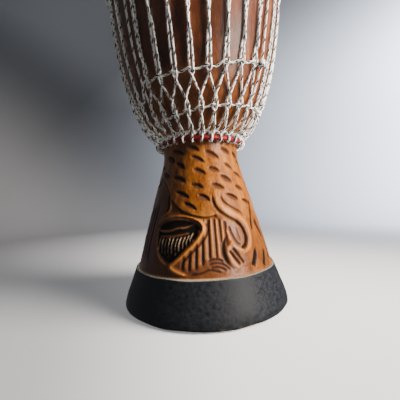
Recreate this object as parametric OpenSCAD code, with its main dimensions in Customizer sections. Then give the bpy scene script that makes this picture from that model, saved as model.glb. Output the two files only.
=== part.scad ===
// Rope-tuned goblet drum: carved hardwood shell, goatskin head, three iron rings,
// cloth-wrapped tension rings, knotted cradle loops, one laced tension rope with a
// spiral diamond weave, and a rubber foot sleeve.
// Millimetres, +Z up. The origin is the middle of the base, where the foot rests.
// Angles around the drum run from the front (-Y) towards the right (+X).

/* [Shell] */
// Height of the wooden shell
shell_h = 620; // [580:1:640]
// Height of the narrowest point of the neck
neck_z = 248; // [225:1:265]
// Outer diameter of the wood at the base
foot_d = 272; // [240:1:290]
// Outer diameter of the neck
neck_d = 131; // [118:1:140]
// Outer diameter of the wood at the rim
rim_d = 296; // [282:1:312]
// Wall at the base
wall_foot = 18; // [12:1:24]
// Wall at the neck
wall_neck = 24; // [16:1:28]
// Wall in the lower part of the bowl, measured level
wall_bowl = 30; // [22:1:34]
// Wall at the rim
wall_rim = 15; // [12:1:20]
// Rounding of the rim's outer edge, where the skin bears
rim_round = 6; // [3:0.5:7]
// Rounding of the foot's lower outer edge
foot_round = 5; // [2:0.5:8]

/* [Foot sleeve] */
// Height of the sleeve's lower edge above the floor
sleeve_lift = 1.5; // [1:0.5:8]
// Height of the sleeve itself
sleeve_h = 61; // [40:1:70]
// Thickness of the rubber
sleeve_t = 4; // [2:0.5:6]

/* [Head] */
// Thickness of the goatskin
skin_t = 1.2; // [0.8:0.1:1.6]
// Height of the crown ring's middle below the rim
crown_drop = 43; // [38:1:60]
// How far the trimmed skin stands above the crown ring's middle
skirt_up = 13; // [8:1:20]
// Diameter of the flesh ring's rod
flesh_rod_d = 8; // [6:0.5:10]

/* [Tension rings] */
// Diameter of the crown ring's rod
crown_rod_d = 8; // [6:0.5:10]
// Diameter of the bottom ring's rod
bottom_rod_d = 5; // [4.5:0.5:6.5]
// Thickness of the cloth wound on both rings
cloth_t = 1; // [0.8:0.1:1.4]
// Height of the bottom ring's middle above the neck
bottom_ring_up = 20; // [18:1:22]

/* [Lacing] */
// Number of loops on each ring
loop_count = 32; // [24:1:34]
// Diameter of the rope
rope_d = 3.1; // [2.8:0.1:4.2]
// Distance between the two strands of a pair
strand_gap = 5.2; // [4.7:0.1:6.5]
// Angle of the pair nearest the front
lacing_turn = -4; // [-5.5:0.5:5.5]
// Depth of the crown loops below the crown ring's middle
crown_loop_drop = 30; // [28:1:40]
// Pairs left of the front that the upper row takes in
upper_left = 3; // [1:1:5]
// Pairs right of the front that the upper row takes in
upper_right = 4; // [1:1:5]
// How far a pair crosses itself below the row that binds it
cross_below = 9; // [7:0.5:11]
// How far two strands meet above the lower row
cross_above = 14; // [11:0.5:15]
// Height of the high crossing above the neck, at the front
high_cross_up = 155; // [148:1:162]
// Height above the neck where the rope leaves the wood
rope_leaves_up = 250; // [235:1:265]

/* [Clearances] */
// Gap between a rope or a skin and what it lies on
seat_gap = 0.3; // [0.2:0.05:0.4]
// Gap between a rod and what is wound on it
wrap_gap = 0.1; // [0.05:0.05:0.2]

/* [Hidden] */
$fn = 96;

// Shell template. Each row is a share of the height and a share of the radius gained,
// the stem's from the neck down to the base, the bowl's from the neck up to the rim.
stem_shape = [
    [0, 0], [0.05, 0.03], [0.15, 0.125], [0.25, 0.235], [0.37, 0.355], [0.58, 0.57],
    [0.76, 0.74], [0.97, 1], [1, 1.01]
];
bowl_shape = [
    [0, 0], [0.045, 0], [0.065, 0.012], [0.08, 0.045], [0.096, 0.125], [0.115, 0.235],
    [0.14, 0.342], [0.188, 0.463], [0.25, 0.588], [0.385, 0.772], [0.465, 0.84],
    [0.58, 0.92], [0.68, 0.96], [0.79, 0.98], [1, 1]
];
arch_up = 1.75;                  // height of an arch above its ring, in rope diameters
step_z = 9;                      // height of one course of the turned outline
sleeve_edge = 4;                 // height of the sleeve's thinned lower edge
neck_r = neck_d / 2;
rim_r = rim_d / 2;
foot_r = foot_d / 2;
rope_r = rope_d / 2;
layer_t = rope_d + seat_gap;     // distance between two layers of rope
pitch = 360 / loop_count;
rope_sides = 5;

// Smooth curve through a list of [x, y], with slopes taken from the neighbours.
function seg_of(p, x, i = 0) = i >= len(p) - 2 || x < p[i + 1][0] ? i : seg_of(p, x, i + 1);
function chord(p, i) = (p[i + 1][1] - p[i][1]) / (p[i + 1][0] - p[i][0]);
function slope(p, i) =
    i == 0 ? chord(p, 0) :
    i == len(p) - 1 ? chord(p, i - 1) :
    (chord(p, i - 1) + chord(p, i)) / 2;
function curve_at(p, x) =
    let (i = seg_of(p, x), w = p[i + 1][0] - p[i][0], t = (x - p[i][0]) / w)
    let (a = 2 * t * t * t - 3 * t * t + 1, b = t * t * t - 2 * t * t + t)
    let (c = 3 * t * t - 2 * t * t * t, d = t * t * t - t * t)
    a * p[i][1] + b * w * slope(p, i) + c * p[i + 1][1] + d * w * slope(p, i + 1);

// Outer radius and level wall of the wood at a height.
function shell_r(z) =
    z < neck_z ? neck_r + (foot_r - neck_r) * curve_at(stem_shape, (neck_z - z) / neck_z) :
    neck_r + (rim_r - neck_r) * curve_at(bowl_shape, (z - neck_z) / (shell_h - neck_z));
wall_shape = [
    [0, wall_foot], [neck_z * 0.5, wall_foot * 0.4 + wall_neck * 0.6], [neck_z, wall_neck],
    [neck_z + (shell_h - neck_z) * 0.16, wall_bowl], [shell_h, wall_rim]
];
function wall_at(z) = curve_at(wall_shape, z);

// Radius at which a tube of radius c, at height z, just touches the wood from outside.
function seat_r(z, c) = max([for (h = [-c:0.5:c]) shell_r(z + h) + sqrt(c * c - h * h)]);

// Rings and the skin between them, from the wood outwards.
crown_z = shell_h - crown_drop;
crown_tube_r = crown_rod_d / 2 + wrap_gap + cloth_t;
bottom_tube_r = bottom_rod_d / 2 + wrap_gap + cloth_t;
bottom_z = neck_z + bottom_ring_up;
bottom_r = seat_r(bottom_z, bottom_tube_r + rope_d + 2 * seat_gap);
skin_r = shell_r(crown_z) + seat_gap + skin_t / 2;        // middle of the skin going down
tail_r = skin_r + skin_t + seat_gap;                      // middle of the skin coming up
crown_r = tail_r + skin_t / 2 + rope_d + 2 * seat_gap + crown_tube_r;
flesh_r = skin_r + skin_t / 2 + wrap_gap + flesh_rod_d / 2;
flesh_z = crown_z - crown_tube_r - rope_d - 3 * seat_gap - skin_t - flesh_rod_d / 2;
crown_loop_z = crown_z - crown_loop_drop;
arch_z = bottom_z + bottom_tube_r + arch_up * rope_d + seat_gap;
fold_r = flesh_r + flesh_rod_d / 2 + wrap_gap + skin_t + seat_gap + rope_r;
rope_leaves_z = neck_z + rope_leaves_up;
high_cross_z = neck_z + high_cross_up;

// Radius of the rope's middle. Layer 0 lies on the wood, each next one lies on the last.
function wall_lean(z) = let (s = (shell_r(z + 4) - shell_r(z - 4)) / 8) sqrt(1 + s * s);
function wood_r(z) = shell_r(z) + (seat_gap + rope_r) * wall_lean(z);
function taut_r(z) =
    let (r0 = wood_r(rope_leaves_z))
    r0 + (flesh_r - r0) * (z - rope_leaves_z) / (crown_loop_z - rope_leaves_z);
function lace_r(z, layer) =
    (z > rope_leaves_z ? max(wood_r(z), taut_r(z)) : wood_r(z))
    + layer * layer_t * wall_lean(z);
// A point of the lacing: place along the ring in pairs, height, and layer.
function lace_point(u, z, layer) = ring_point(u, lace_r(z, layer), z);
// Half the strand gap as a share of the pitch at a height.
function half_gap(z) = strand_gap / 2 / lace_r(z, 0) * 180 / PI / pitch;

// The weave climbs as it goes round. Each row is an angle and a height above the neck.
lower_row = [[-60, 43], [-20, 51], [0, 57], [30, 63], [60, 66], [180, 71], [270, 74], [300, 79]];
upper_row = [[-60, 92], [-45, 99], [-15, 101], [5, 104], [18, 112], [36, 119], [60, 126]];
// The high crossings, as an angle and a height above or below the one at the front.
high_row = [[-60, -22], [-38, -22], [-27, 36], [-15.5, 32], [-4, 0], [30, -9], [60, -14]];
function turn_of(u) = lacing_turn + u * pitch;
function ring_point(u, r, z) = [r * sin(turn_of(u)), -r * cos(turn_of(u)), z];
function in_first_turn(a) = a < -50 ? a + 360 : a;
function lower_z(u) = neck_z + lookup(in_first_turn(turn_of(u)), lower_row);
function upper_z(u) = neck_z + lookup(turn_of(u), upper_row);
function has_upper(k) = k >= -upper_left && k <= upper_right;
function wrapped(k) = k > loop_count / 2 ? k - loop_count : k;
function high_z(k) = high_cross_z + lookup(turn_of(k), high_row);
first_pair = upper_right + 1;         // the pair where the tension rope starts and ends
tie_z = upper_z(upper_right + 0.5);
tie_lean = atan((shell_r(tie_z + 6) - shell_r(tie_z - 6)) / 12);

over = 1.15;                          // layer of a rope that rides over another
clear_h = rope_d + 1.5;               // height at which a bend is clear of its cross-piece
under_row = 9;                        // how far above a row its two strands have settled
tie_reach = 12;                       // half the height that the tie-off holds
tight = 0.92;                         // share of the strand gap left between bound strands
// Places of a bend round a loop's cross-piece, in pairs: clear of it in front, four steps
// round it, and clear of it behind. At an arch the rope goes in at one corner and comes out
// at the other.
crown_bend = [0.24, 0.1, 0.05, -0.05, -0.1, -0.24];
arch_bend = [0.31, 0.28, 0.25, 0.15, 0, -0.28];
// How two strands part below their high crossing, as shares of the way down to the row
// and of the strand gap.
parting = [[0.12, 0.36], [0.34, 0.72], [0.65, 0.88]];
// Layer of a strand that crosses its partner, where they lie a share of the gap apart.
function cover(share) = sqrt(max(0, 1 - pow(share * strand_gap / rope_d, 2)));

// One strand of pair k, top to bottom. side is 1 for the strand from the loop on the
// left, which lies right of its partner, and -1 for the strand from the loop on the right.
function strand_top(k, side) =
    let (w = wrapped(k), z = upper_z(w), zh = high_z(w), g = side * half_gap(z))
    let (on = side > 0 ? 1 : 0, run = side * (0.5 - half_gap(rope_leaves_z)))
    let (away = side * (0.5 - crown_bend[0]) * (rope_leaves_z - zh) / (crown_loop_z - zh))
    has_upper(w) ? [
        lace_point(k - away, rope_leaves_z, 0.1),
        lace_point(k - away / 2, (zh + rope_leaves_z) / 2, 0.18),
        lace_point(k, zh, on),
        for (p = parting)
            lace_point(k + g * p[1], zh + (z + under_row - zh) * p[0], on * cover(p[1])),
        lace_point(k + g, z + under_row, 0.35),
        lace_point(k + g, z, over * on),
        lace_point(k + g, z - 0.45 * cross_below, 0.5),
        lace_point(k, z - cross_below, 1 - on)
    ] :
    let (low_z = lower_z(w - side * 0.5) + cross_above + under_row)
    let (tied = w == first_pair && side > 0)
    [for (t = [0:0.2:1])
        let (zt = rope_leaves_z + (low_z - rope_leaves_z) * t)
        lace_point(k - run, zt, tied && abs(zt - tie_z) < tie_reach ? 1.1 : 0.1 + 0.5 * on * t)];
function strand_low(k, side) =
    let (u = k - side * 0.5, z = lower_z(wrapped(k) - side * 0.5), g = side * tight * half_gap(z))
    let (on = side > 0 ? 1 : 0)
    [
        lace_point(u, z + cross_above, on),
        lace_point(u - g, z + 0.5 * cross_above, 0.5),
        lace_point(u - 1.05 * g, z, over * (1 - on)),
        lace_point(u - g, z - 0.45 * cross_below, 0.5),
        lace_point(u, z - cross_below, on),
        lace_point(u + side * 0.09, (z - cross_below) * 0.5 + arch_z * 0.5 + 2, 0.3 + 0.9 * on)
    ];
// The bend of the rope round a loop's cross-piece, from the front of it to the back.
function bend(u, z, dir, at) =
    let (r = lace_r(z, 1))
    concat(
        [lace_point(u - dir * at[0], z + dir * clear_h, 1.9)],
        [for (i = [0:3])
            let (a = i * 60)
            ring_point(u - dir * at[i + 1], r + layer_t * cos(a), z - dir * layer_t * sin(a))],
        [lace_point(u - dir * at[5], z + dir * clear_h, 0)]
    );
function part_of(p, from, to) = [for (i = [from:to]) p[i]];
function strand(k, side) = concat(strand_top(k, side), strand_low(k, side));
function backwards(p) = [for (i = [len(p) - 1:-1:0]) p[i]];
function joined(p) = [for (a = p) each a];
tension_path = concat(
    part_of(bend(first_pair, arch_z, 1, arch_bend), 3, 5),
    joined([for (i = [0:loop_count - 1])
        let (k = first_pair + i)
        concat(
            i > 0 ? bend(k, arch_z, 1, arch_bend) : [],
            backwards(strand(k, -1)),
            backwards(bend(k + 0.5, crown_loop_z, -1, crown_bend)),
            strand(k + 1, 1)
        )]),
    part_of(bend(first_pair + loop_count, arch_z, 1, arch_bend), 0, 2)
);

// The weave goes over the left strand of each pair and under the right one.
function bound(u, z) =
    let (g = half_gap(z))
    [lace_point(u - g, z, over), lace_point(u + g, z, 0), lace_point(u + 0.45, z, 0)];
function lower_bound(u) = bound(u, lower_z(u > loop_count / 2 ? u - loop_count : u));
weave_path = concat(
    [lace_point(-upper_left - 0.95, lower_z(-upper_left - 0.5) - 4, 0.4)],
    joined([for (i = [0:loop_count - 1]) lower_bound(i - upper_left - 0.5)]),
    [lace_point(loop_count - upper_left - 0.5, upper_z(-upper_left) - 7, 1.2)],
    joined([for (k = [-upper_left:upper_right]) bound(loop_count + k, upper_z(k))])
);

// A cradle: the rope goes once round the ring at each hitch, then makes a loop to the
// next one. half is the first half of a loop, as a place, a radius and a height each.
// dir is 1 for loops above the ring and -1 for loops below it.
turn_step = 40;
function hitch(u, z, r, tube_r, dir) =
    let (q = (tube_r + seat_gap + rope_r) / cos(turn_step / 2))
    let (lean = rope_d * 0.56 / r * 180 / PI)
    [for (a = [0:turn_step:360 - turn_step])
        let (b = turn_of(u) + lean * (a / 180 - 1))
        let (rr = r - q * sin(a), zz = z + dir * q * cos(a))
        [rr * sin(b), -rr * cos(b), zz]];
function cradle_path(shift, z, r, tube_r, half, dir) = joined([
    for (i = [0:loop_count - 1])
        let (u = i + shift)
        concat(
            hitch(u, z, r, tube_r, dir),
            [for (p = half) ring_point(u + p[0], p[1], p[2])],
            [for (p = backwards(half)) ring_point(u + 1 - p[0], p[1], p[2])]
        )
]);
crown_half = [
    [0.09, fold_r, flesh_z],
    [0.23, lace_r(crown_loop_z, 1), crown_loop_z + 1.5],
    [0.31, lace_r(crown_loop_z, 1), crown_loop_z]
];
arch_half = [
    [0.11, lace_r(arch_z, 1), arch_z - 2.5],
    [0.19, lace_r(arch_z, 1), arch_z]
];

// Sweep of a round rope along a path, with the rings carried along without twist.
function unit(v) = v / norm(v);
function tangent(p, i) = unit(p[min(i + 1, len(p) - 1)] - p[max(i - 1, 0)]);
function turned(n, t) = unit(n - (n * t) * t);
function normals(p) = [
    for (i = 0, n = turned([0.3, 0.2, 1], tangent(p, 0)); i < len(p);
         i = i + 1, n = i < len(p) ? turned(n, tangent(p, i)) : n) n
];
module rope(path) {
    n = normals(path);
    points = [
        for (i = [0:len(path) - 1])
            let (t = tangent(path, i), side = cross(t, n[i]))
            for (s = [0:rope_sides - 1])
                let (a = s * 360 / rope_sides)
                path[i] + rope_r * (cos(a) * n[i] + sin(a) * side)
    ];
    last = (len(path) - 1) * rope_sides;
    walls = [
        for (i = [0:len(path) - 2], s = [0:rope_sides - 1])
            let (a = i * rope_sides + s, b = i * rope_sides + (s + 1) % rope_sides)
            each [[a, a + rope_sides, b], [b, a + rope_sides, b + rope_sides]]
    ];
    ends = [
        [for (s = [0:rope_sides - 1]) s],
        [for (s = [rope_sides - 1:-1:0]) last + s]
    ];
    polyhedron(points = points, faces = concat(walls, ends), convexity = 10);
}

// Round rod bent to a ring, and the cloth wound on it.
module rod_ring(r, z, rod_d) {
    translate([0, 0, z]) rotate_extrude() translate([r, 0]) circle(d = rod_d, $fn = 32);
}
module cloth_ring(r, z, rod_d) {
    translate([0, 0, z])
        rotate_extrude()
            translate([r, 0])
                difference() {
                    circle(d = rod_d + 2 * wrap_gap + 2 * cloth_t, $fn = 32);
                    circle(d = rod_d + 2 * wrap_gap, $fn = 32);
                }
}

// A knot: a few turns of rope drawn tight. bore is the radius of what runs through it.
// Its axis lies along the ring at a tilt of 90, and upright at a tilt of 0.
knot_bore_r = rope_r + seat_gap;
knot_r = knot_bore_r + rope_d;
knot_out = bottom_tube_r + layer_t + seat_gap + knot_r;   // from the bottom ring's middle
knot_up = 15;                                             // angle above it, in degrees
module knot(u, r, z, turns, tilt = 90, bore = 0) {
    rotate([0, 0, turn_of(u)])
        translate([0, -r, z])
            rotate([tilt == 90 ? 0 : tilt, tilt == 90 ? 90 : 0, 0])
                rotate_extrude($fn = 24)
                    union() {
                        translate([bore, -(turns - 1) * rope_d * 0.45])
                            square([knot_r - rope_r - bore, (turns - 1) * rope_d * 0.9]);
                        for (i = [0:turns - 1])
                            translate([knot_r - rope_r, (i - (turns - 1) / 2) * rope_d * 0.9])
                                circle(d = rope_d, $fn = 20);
                    }
}

module shell() {
    arc = [15:15:75];
    outer = [for (z = [foot_round:step_z:shell_h - rim_round - 1]) [shell_r(z), z]];
    inner = [for (z = [0:step_z:shell_h - rim_round - 1]) [shell_r(z) - wall_at(z), z]];
    foot_edge = [for (a = arc)
        [shell_r(foot_round) - foot_round * (1 - sin(a)), foot_round * (1 - cos(a))]];
    rim_edge = [for (a = arc)
        [rim_r - rim_round * (1 - cos(a)), shell_h - rim_round * (1 - sin(a))]];
    color("peru")
        rotate_extrude()
            polygon(concat(
                [[shell_r(foot_round) - foot_round, 0]], foot_edge, outer,
                [[rim_r, shell_h - rim_round]], rim_edge,
                [[rim_r - rim_round, shell_h], [rim_r - wall_rim + rim_round / 2, shell_h]],
                [[rim_r - wall_rim, shell_h - rim_round]], backwards(inner)
            ));
}

module foot_sleeve() {
    top = sleeve_lift + sleeve_h;
    zs = [sleeve_lift, for (z = [sleeve_lift + sleeve_edge:step_z:top - sleeve_edge]) z, top];
    inside = [for (z = zs) [shell_r(z) + seat_gap, z]];
    outside = [for (z = zs)
        [shell_r(z) + seat_gap + sleeve_t * (z == sleeve_lift ? 0.5 : 1), z]];
    color("#26272b") rotate_extrude() polygon(concat(inside, backwards(outside)));
}

// The skin crosses the rim, goes down inside the flesh ring, round it, and up again
// between the crown ring and itself.
module head_skin() {
    top = shell_h + seat_gap + skin_t / 2;
    round_r = rim_round + seat_gap + skin_t / 2;
    over = [for (a = [90:-18:0])
        [rim_r - rim_round + round_r * cos(a), shell_h - rim_round + round_r * sin(a)]];
    bend_r = flesh_rod_d / 2 + wrap_gap + skin_t / 2;
    around = [for (a = [180:22.5:450]) [flesh_r + bend_r * cos(a), flesh_z + bend_r * sin(a)]];
    path = concat(
        [[0, top]], over, [[skin_r, crown_z + skirt_up]], around,
        [[tail_r + 1, flesh_z + bend_r + 0.6], [tail_r, flesh_z + bend_r + 2]],
        [[tail_r, crown_z + skirt_up]]
    );
    color("#e4dac2") rotate_extrude() polygon(ribbon(path, skin_t));
}
// Outline of a ribbon of even thickness along an open path.
function normal2(p, i) =
    let (d = p[min(i + 1, len(p) - 1)] - p[max(i - 1, 0)]) [-d[1], d[0]] / norm(d);
function ribbon(p, t) = concat(
    [for (i = [0:len(p) - 1]) let (q = p[i] + normal2(p, i) * t / 2) [max(q[0], 0), q[1]]],
    backwards([for (i = [0:len(p) - 1])
        let (q = p[i] - normal2(p, i) * t / 2) [max(q[0], 0), q[1]]])
);

module flesh_ring() color("#77706a") rod_ring(flesh_r, flesh_z, flesh_rod_d);
module crown_ring() color("#77706a") rod_ring(crown_r, crown_z, crown_rod_d);
module bottom_ring() color("#77706a") rod_ring(bottom_r, bottom_z, bottom_rod_d);
module crown_ring_wrap() color("#a81626") cloth_ring(crown_r, crown_z, crown_rod_d);
module bottom_ring_wrap() color("#a81626") cloth_ring(bottom_r, bottom_z, bottom_rod_d);

module crown_cradle() {
    color("#ece8dc")
        rope(cradle_path(loop_count / 2, crown_z, crown_r, crown_tube_r, crown_half, -1));
}
module bottom_cradle() {
    color("#ece8dc")
        rope(cradle_path(-upper_left - 1.5, bottom_z, bottom_r, bottom_tube_r, arch_half, 1));
}
module tension_rope() color("#ece8dc") rope(tension_path);
module weave_rope() color("#ece8dc") rope(weave_path);

module crown_knot() {
    color("#ece8dc")
        knot(loop_count / 2, crown_r, crown_z + crown_tube_r + layer_t + seat_gap + knot_r, 3);
}
module bottom_knot() {
    color("#ece8dc")
        knot(-upper_left - 1.5, bottom_r + knot_out * cos(knot_up),
            bottom_z + knot_out * sin(knot_up), 3);
}
module lacing_knot() {
    color("#ece8dc")
        knot(first_pair, lace_r(arch_z, 2) + rope_r + seat_gap + knot_r, arch_z, 2);
}
module tie_off_knot() {
    color("#ece8dc")
        knot(upper_right + 0.5 + half_gap(rope_leaves_z), lace_r(tie_z, 1.1), tie_z, 3,
            tie_lean, knot_bore_r);
}

shell();
foot_sleeve();
head_skin();
flesh_ring();
crown_ring();
crown_ring_wrap();
crown_cradle();
crown_knot();
tension_rope();
lacing_knot();
weave_rope();
tie_off_knot();
bottom_cradle();
bottom_knot();
bottom_ring();
bottom_ring_wrap();
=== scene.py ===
from functools import partial
from math import cos, pi, radians, sin, sqrt
import bpy
import numpy as np
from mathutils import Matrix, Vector


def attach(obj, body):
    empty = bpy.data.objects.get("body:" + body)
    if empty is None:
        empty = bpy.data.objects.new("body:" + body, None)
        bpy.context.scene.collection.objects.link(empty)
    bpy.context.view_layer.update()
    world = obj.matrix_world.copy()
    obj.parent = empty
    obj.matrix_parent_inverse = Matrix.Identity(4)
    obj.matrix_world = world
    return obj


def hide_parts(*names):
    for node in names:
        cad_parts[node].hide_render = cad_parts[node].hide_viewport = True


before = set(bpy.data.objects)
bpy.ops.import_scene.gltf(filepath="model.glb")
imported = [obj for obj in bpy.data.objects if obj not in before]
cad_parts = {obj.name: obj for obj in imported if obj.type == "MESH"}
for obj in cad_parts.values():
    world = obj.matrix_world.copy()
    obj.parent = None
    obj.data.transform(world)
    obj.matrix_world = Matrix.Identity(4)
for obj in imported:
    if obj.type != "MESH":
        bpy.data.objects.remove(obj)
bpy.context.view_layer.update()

mm = 0.001
print("stage: frame loaded")


# small helpers
def addNode(tree, kind, inputs=None, out=0, **settings):  # gives back one output socket
    node = tree.nodes.new(kind if "Node" in kind else "ShaderNode" + kind)
    for name, value in settings.items():
        setattr(node, name, value)
    for key, value in (inputs or {}).items():
        if isinstance(value, bpy.types.NodeSocket):
            tree.links.new(value, node.inputs[key])
        else:
            node.inputs[key].default_value = value
    return node.outputs[out] if node.outputs else node


def linear(hexColour):  # sRGB hex to the linear colour that shaders take
    parts = [int(hexColour[i:i + 2], 16) / 255 for i in (1, 3, 5)]
    return [p / 12.92 if p < 0.04045 else ((p + 0.055) / 1.055) ** 2.4 for p in parts] + [1]


def setRamp(socket, stops):  # stops: (place, colour as hex or grey level)
    ramp, stops = socket.node.color_ramp, list(stops)
    while len(ramp.elements) < len(stops):
        ramp.elements.new(1)
    for element, (place, colour) in zip(ramp.elements, stops):
        element.position = place
        element.color = linear(colour) if isinstance(colour, str) else [colour] * 3 + [1]
    return socket


inColour = {"data_type": "RGBA", "out": 2}  # for a Mix node that blends colours


def newMaterial(name):  # and what adds a node to it
    material = bpy.data.materials.new(name)
    material.use_nodes = True
    material.node_tree.nodes.clear()
    return material, partial(addNode, material.node_tree)


def ease(x, low, high):
    t = np.clip((x - low) / (high - low), 0, 1)
    return t * t * (3 - 2 * t)


def noise(*axes, seed=1):  # value noise on any number of axes, 0 to 1, smooth
    axes = [np.asarray(a, float) for a in np.broadcast_arrays(*axes)]
    cells = [np.floor(a) for a in axes]
    parts = [ease(a - c, 0, 1) for a, c in zip(axes, cells)]
    total = 0
    for corner in range(2 ** len(axes)):
        weight, mixed = 1.0, float(seed)
        for n, (cell, part) in enumerate(zip(cells, parts)):
            bit = corner >> n & 1
            weight = weight * (part if bit else 1 - part)
            mixed = mixed + (cell + bit) * (12.9898, 78.233, 37.719)[n]
        value = np.sin(mixed) * 43758.5453
        total = total + weight * (value - np.floor(value))
    return total


def newObject(name, data):
    piece = bpy.data.objects.new(name, data)
    bpy.context.collection.objects.link(piece)
    return piece


def meshObject(name, points, faces, material):  # points in millimetres
    mesh = bpy.data.meshes.new(name)
    mesh.from_pydata((np.asarray(points) * mm).tolist(), [], faces)
    mesh.polygons.foreach_set("use_smooth", [True] * len(mesh.polygons))
    mesh.materials.append(material)
    mesh.update()
    return newObject(name, mesh)


def fullTurn(steps):
    return np.linspace(0, 2 * pi, steps, endpoint=False)


def turned(angle, r, z):  # points round the axis
    return np.stack(np.broadcast_arrays(r * np.sin(angle), -r * np.cos(angle), z), -1)


def gridFaces(rows, columns, closeRows, first=0):  # columns always close, rows if asked
    down = np.arange(rows if closeRows else rows - 1)
    i, j = np.meshgrid(down, np.arange(columns), indexing="ij")
    below, right = (i + 1) % rows, (j + 1) % columns
    quads = np.stack([i * columns + j, i * columns + right,
                      below * columns + right, below * columns + j], -1)
    return (quads.reshape(-1, 4) + first).tolist()


def addFloat(piece, name, values):
    layer = piece.data.attributes.new(name, "FLOAT", "POINT")
    layer.data.foreach_set("value", np.asarray(values, np.float32).ravel())


# turned outline of the shell, as in the frame
shellSize = {"height": 620, "neckZ": 248, "footD": 272, "neckD": 131, "rimD": 296,
             "wallFoot": 18, "wallNeck": 24, "wallBowl": 30, "wallRim": 15,
             "rimRound": 6, "footRound": 5}
stemShape = [(0, 0), (0.05, 0.03), (0.15, 0.125), (0.25, 0.235), (0.37, 0.355), (0.58, 0.57),
             (0.76, 0.74), (0.97, 1), (1, 1.01)]
bowlShape = [(0, 0), (0.045, 0), (0.065, 0.012), (0.08, 0.045), (0.096, 0.125), (0.115, 0.235),
             (0.14, 0.342), (0.188, 0.463), (0.25, 0.588), (0.385, 0.772), (0.465, 0.84),
             (0.58, 0.92), (0.68, 0.96), (0.79, 0.98), (1, 1)]


def curveAt(table, x):  # smooth curve, slopes from the neighbours
    xs, ys = np.array(table, float).T
    chords = np.diff(ys) / np.diff(xs)
    slopes = np.r_[chords[:1], (chords[:-1] + chords[1:]) / 2, chords[-1:]]
    i = np.clip(np.searchsorted(xs, x, side="right") - 1, 0, len(xs) - 2)
    w = xs[i + 1] - xs[i]
    t = (x - xs[i]) / w
    return ((2 * t**3 - 3 * t**2 + 1) * ys[i] + (t**3 - 2 * t**2 + t) * w * slopes[i]
            + (3 * t**2 - 2 * t**3) * ys[i + 1] + (t**3 - t**2) * w * slopes[i + 1])


def shellR(z):
    s = shellSize
    neck = s["neckD"] / 2
    stem = neck + (s["footD"] / 2 - neck) * curveAt(stemShape, (s["neckZ"] - z) / s["neckZ"])
    bowl = neck + (s["rimD"] / 2 - neck) * curveAt(
        bowlShape, (z - s["neckZ"]) / (s["height"] - s["neckZ"]))
    return np.where(np.asarray(z) < s["neckZ"], stem, bowl)


def wallAt(z):
    s = shellSize
    return curveAt([(0, s["wallFoot"]), (s["neckZ"] / 2, s["wallFoot"] * 0.4 + s["wallNeck"] * 0.6),
                    (s["neckZ"], s["wallNeck"]),
                    (s["neckZ"] + (s["height"] - s["neckZ"]) * 0.16, s["wallBowl"]),
                    (s["height"], s["wallRim"])], z)


# rings and lacing: the same rules and values as the frame, in millimetres
ringSize = {"skinT": 1.2, "crownDrop": 43, "skirtUp": 13, "fleshRod": 8, "crownRod": 8,
            "bottomRod": 5, "clothT": 1, "bottomUp": 20, "seatGap": 0.3, "wrapGap": 0.1}
lace = {"loops": 32, "ropeD": 3.1, "strandGap": 5.2, "turn": -4, "crownLoopDrop": 30,
        "upperLeft": 3, "upperRight": 4, "crossBelow": 9, "crossAbove": 14,
        "highCrossUp": 155, "ropeLeavesUp": 250, "over": 1.15, "turnStep": 40,
        "underRow": 9, "tieReach": 12, "archUp": 1.75, "clear": 1.5,
        "crownBend": (0.24, 0.1, 0.05, -0.05, -0.1, -0.24),
        "archBend": (0.31, 0.28, 0.25, 0.15, 0, -0.28), "tight": 0.92,
        "parting": ((0.12, 0.36), (0.34, 0.72), (0.65, 0.88))}
lowerRow = [(-60, 43), (-20, 51), (0, 57), (30, 63), (60, 66), (180, 71), (270, 74), (300, 79)]
upperRow = [(-60, 92), (-45, 99), (-15, 101), (5, 104), (18, 112), (36, 119), (60, 126)]
highRow = [(-60, -22), (-38, -22), (-27, 36), (-15.5, 32), (-4, 0), (30, -9), (60, -14)]

ropeD, strandGap, lacingTurn = lace["ropeD"], lace["strandGap"], lace["turn"]
skinT, seatGap, wrapGap = ringSize["skinT"], ringSize["seatGap"], ringSize["wrapGap"]
fleshRodR = ringSize["fleshRod"] / 2
ropeR, layerT = ropeD / 2, ropeD + seatGap
loops = lace["loops"]
pitch = 360 / loops
neckZ = shellSize["neckZ"]
crownTube = ringSize["crownRod"] / 2 + wrapGap + ringSize["clothT"]
bottomTube = ringSize["bottomRod"] / 2 + wrapGap + ringSize["clothT"]
crownZ = shellSize["height"] - ringSize["crownDrop"]
bottomZ = neckZ + ringSize["bottomUp"]
reach = bottomTube + ropeD + 2 * seatGap
bottomR = max(float(shellR(bottomZ + h)) + sqrt(max(reach**2 - h**2, 0))
              for h in np.arange(-reach, reach + 0.01, 0.5))
skinR = float(shellR(crownZ)) + seatGap + skinT / 2
tailR = skinR + skinT + seatGap
crownR = tailR + skinT / 2 + ropeD + 2 * seatGap + crownTube
fleshR = skinR + skinT / 2 + wrapGap + fleshRodR
fleshZ = crownZ - crownTube - ropeD - 3 * seatGap - skinT - fleshRodR
foldR = fleshR + fleshRodR + wrapGap + skinT + seatGap + ropeR
crownLoopZ = crownZ - lace["crownLoopDrop"]
archZ = bottomZ + bottomTube + lace["archUp"] * ropeD + seatGap
leavesZ = neckZ + lace["ropeLeavesUp"]
highZ = neckZ + lace["highCrossUp"]


def wallLean(z):
    return sqrt(1 + float((shellR(z + 4) - shellR(z - 4)) / 8) ** 2)


def woodR(z):
    return float(shellR(z)) + (seatGap + ropeR) * wallLean(z)


def laceR(z, layer):
    start = woodR(leavesZ)
    taut = start + (fleshR - start) * (z - leavesZ) / (crownLoopZ - leavesZ)
    return (max(woodR(z), taut) if z > leavesZ else woodR(z)) + layer * layerT * wallLean(z)


def ringPoint(u, r, z):
    a = radians(lacingTurn + u * pitch)
    return (r * sin(a), -r * cos(a), z)


def lacePoint(u, z, layer):
    return ringPoint(u, laceR(z, layer), z)


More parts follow.
